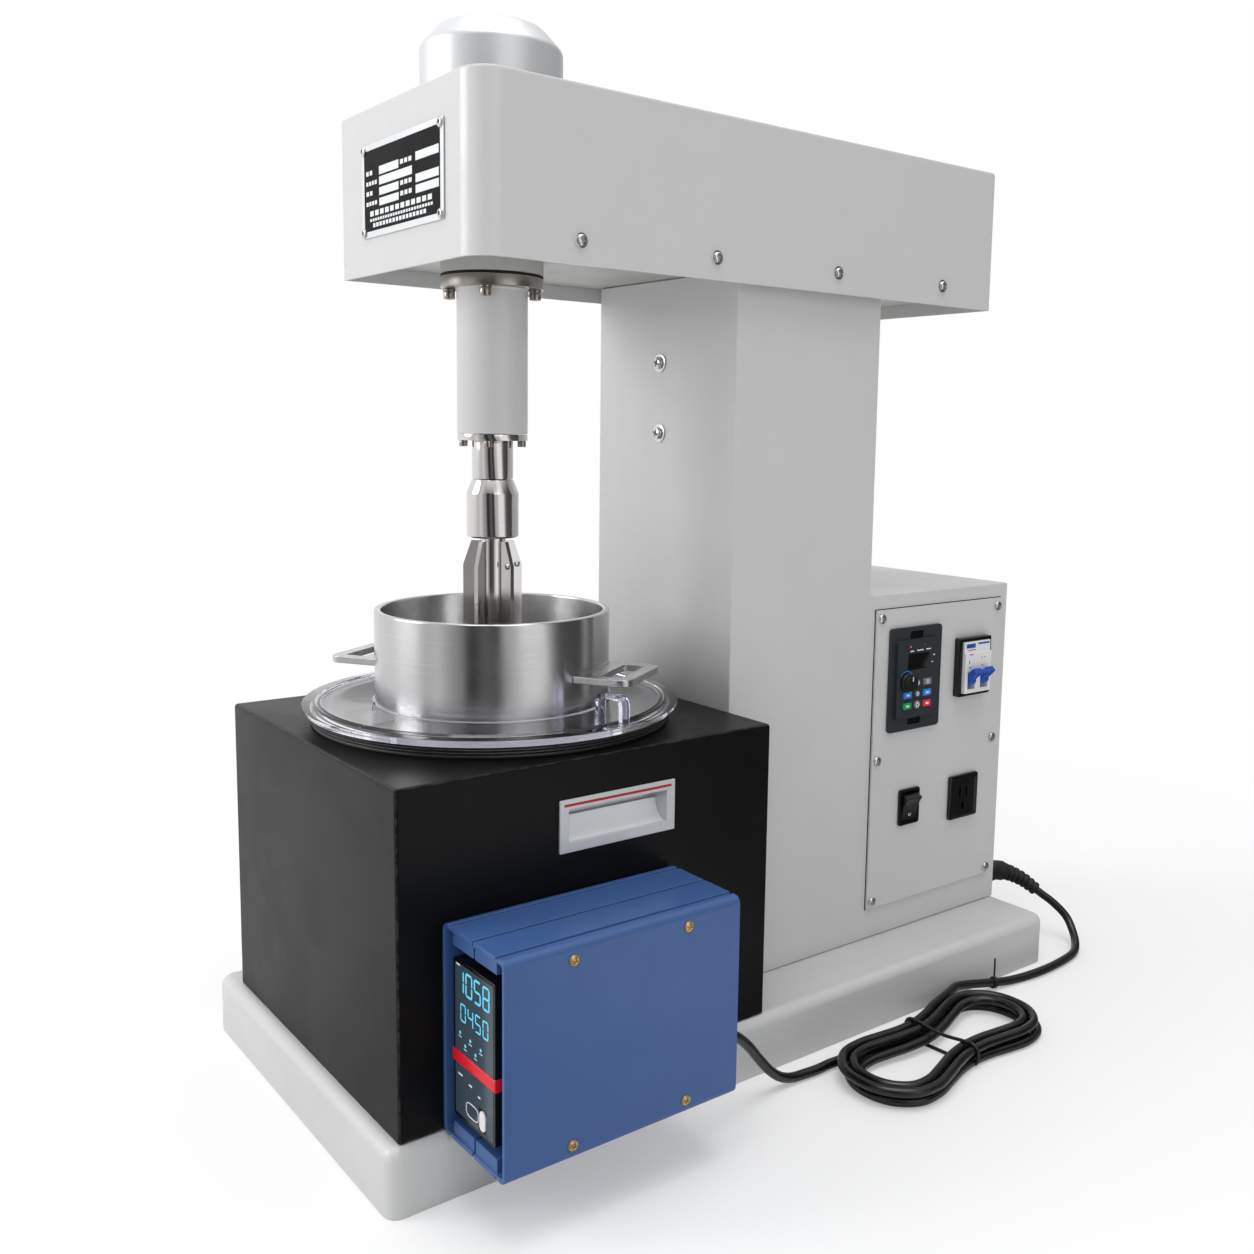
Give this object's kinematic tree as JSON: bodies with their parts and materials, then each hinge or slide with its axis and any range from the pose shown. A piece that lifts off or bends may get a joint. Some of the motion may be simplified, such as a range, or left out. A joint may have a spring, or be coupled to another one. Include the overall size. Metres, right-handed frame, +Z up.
{
  "type": "laboratory leaching agitator",
  "caption": "Bench leaching agitator: belt driven finned stirrer over a steel pot in a heated bath, with a speed panel and a blue temperature controller case.",
  "frame": {"origin": "floor plane, middle of the machine's footprint without its cord", "axes": "+Z up, the stirrer and bath face -Y, the speed panel and the controller case face +X"},
  "size_m": [0.4022, 0.6795, 0.7213],
  "materials": {
    "enamel": "satin stoved enamel with a fine orange peel, light warm grey",
    "black_paint": "semi-matte black powder coat, a little worn on its edges",
    "steel": "brushed and polished stainless steel",
    "dark_steel": "dark painted castings and machined pulleys",
    "silver": "satin silver",
    "rubber": "semi-gloss black",
    "acrylic": "clear acrylic with faintly violet edges",
    "blue_plastic": "satin moulded blue",
    "black_plastic": "gloss moulded black",
    "slate_plastic": "fine textured slate grey",
    "white_plastic": "satin moulded white",
    "grey_key": "satin moulded grey",
    "blue_key": "satin moulded blue",
    "green_key": "satin moulded green",
    "red_key": "satin moulded red",
    "copper": "sheathed heater tube, oxidised copper"
  },
  "bodies": {
    "frame": {"base": "enamel", "column_housing": "enamel", "control_panel": "enamel", "arm_bed": "enamel", "arm_cover": "enamel", "spindle_housing": "enamel", "bath_housing": "black_paint", "upper_bearing": "steel", "lower_bearing": "steel", "end_ring": "steel", "bath_tank": "steel", "pot_stand": "steel", "drive_motor": "dark_steel", "motor_bracket": "dark_steel", "spindle_cap": "silver", "nameplate": "silver", "pull_handle": "silver", "flange_gasket": "rubber", "drive_belt": "rubber", "bath_ring": "rubber", "cord_hank": "rubber", "cord_case": "rubber", "cord_supply": "rubber", "strain_relief": "rubber", "case_inner_shell": "blue_plastic", "case_outer_shell": "blue_plastic", "case_front_panel": "blue_plastic", "case_rear_panel": "blue_plastic", "controller_face": "black_plastic", "controller_body": "black_plastic", "rocker_frame": "black_plastic", "socket_outlet": "black_plastic", "cord_gland": "black_plastic", "drive_unit": "slate_plastic", "drive_bezel": "slate_plastic", "breaker_body": "white_plastic", "heater_ring": "copper"},
    "spindle": {"spindle_shaft": "steel", "coupling_sleeve": "steel", "stirrer": "steel", "driven_pulley": "dark_steel"},
    "motor_rotor": {"motor_shaft": "steel", "drive_pulley": "dark_steel"},
    "pot": {"leaching_pot": "steel", "pot_handle_right": "steel", "pot_handle_left": "steel"},
    "right_cover": {"cover_right": "acrylic"},
    "left_cover": {"cover_left": "acrylic"},
    "knob": {"speed_knob": "black_plastic"},
    "run_key": {"key_run": "green_key"},
    "stop_key": {"key_stop": "red_key"},
    "down_key": {"key_down": "blue_key"},
    "up_key": {"key_up": "blue_key"},
    "mode_key": {"key_mode": "grey_key"},
    "shift_key": {"key_shift": "grey_key"},
    "enter_key": {"key_enter": "grey_key"},
    "menu_key": {"key_menu": "grey_key"},
    "toggle": {"breaker_toggle": "blue_key"},
    "rocker": {"rocker_switch": "black_plastic"},
    "oval_key": {"controller_key": "white_plastic"}
  },
  "joints": [
    {"name": "spindle_spin", "type": "hinge", "parent": "frame", "child": "spindle", "pos_m": [-0.023, -0.162, 0.5], "axis": [0, 0, 1], "continuous": true},
    {"name": "motor_spin", "type": "hinge", "parent": "frame", "child": "motor_rotor", "pos_m": [-0.023, 0.059, 0.6], "axis": [0, 0, 1], "continuous": true},
    {"name": "pot_lift", "type": "slide", "parent": "frame", "child": "pot", "axis": [0, 0, 1], "range_m": [0, 0.025]},
    {"name": "right_cover_lift", "type": "slide", "parent": "frame", "child": "right_cover", "axis": [0, 0, 1], "range_m": [0, 0.018]},
    {"name": "left_cover_lift", "type": "slide", "parent": "frame", "child": "left_cover", "axis": [0, 0, 1], "range_m": [0, 0.018]},
    {"name": "speed_knob_turn", "type": "hinge", "parent": "frame", "child": "knob", "pos_m": [0.0686, 0.169, 0.2577], "axis": [1, 0, 0], "range_deg": [-135, 135]},
    {"name": "run_press", "type": "slide", "parent": "frame", "child": "run_key", "axis": [-1, 0, 0], "range_m": [0, 0.0008], "stiffness_N_per_m": 1500},
    {"name": "stop_press", "type": "slide", "parent": "frame", "child": "stop_key", "axis": [-1, 0, 0], "range_m": [0, 0.0008], "stiffness_N_per_m": 1500},
    {"name": "down_press", "type": "slide", "parent": "frame", "child": "down_key", "axis": [-1, 0, 0], "range_m": [0, 0.0008], "stiffness_N_per_m": 1500},
    {"name": "up_press", "type": "slide", "parent": "frame", "child": "up_key", "axis": [-1, 0, 0], "range_m": [0, 0.0008], "stiffness_N_per_m": 1500},
    {"name": "mode_press", "type": "slide", "parent": "frame", "child": "mode_key", "axis": [-1, 0, 0], "range_m": [0, 0.0008], "stiffness_N_per_m": 1500},
    {"name": "shift_press", "type": "slide", "parent": "frame", "child": "shift_key", "axis": [-1, 0, 0], "range_m": [0, 0.0008], "stiffness_N_per_m": 1500},
    {"name": "enter_press", "type": "slide", "parent": "frame", "child": "enter_key", "axis": [-1, 0, 0], "range_m": [0, 0.0008], "stiffness_N_per_m": 1500},
    {"name": "menu_press", "type": "slide", "parent": "frame", "child": "menu_key", "axis": [-1, 0, 0], "range_m": [0, 0.0008], "stiffness_N_per_m": 1500},
    {"name": "oval_press", "type": "slide", "parent": "frame", "child": "oval_key", "axis": [0, 1, 0], "range_m": [0, 0.0006], "stiffness_N_per_m": 1500},
    {"name": "toggle_throw", "type": "hinge", "parent": "frame", "child": "toggle", "pos_m": [0.071, 0.2555, 0.251], "axis": [0, 1, 0], "range_deg": [0, 70]},
    {"name": "rocker_throw", "type": "hinge", "parent": "frame", "child": "rocker", "pos_m": [0.0666, 0.183, 0.1498], "axis": [0, -1, 0], "range_deg": [0, 18]}
  ],
  "couplings": [
    {"joint": "motor_spin", "follows": "spindle_spin", "ratio": 1.4732}
  ]
}
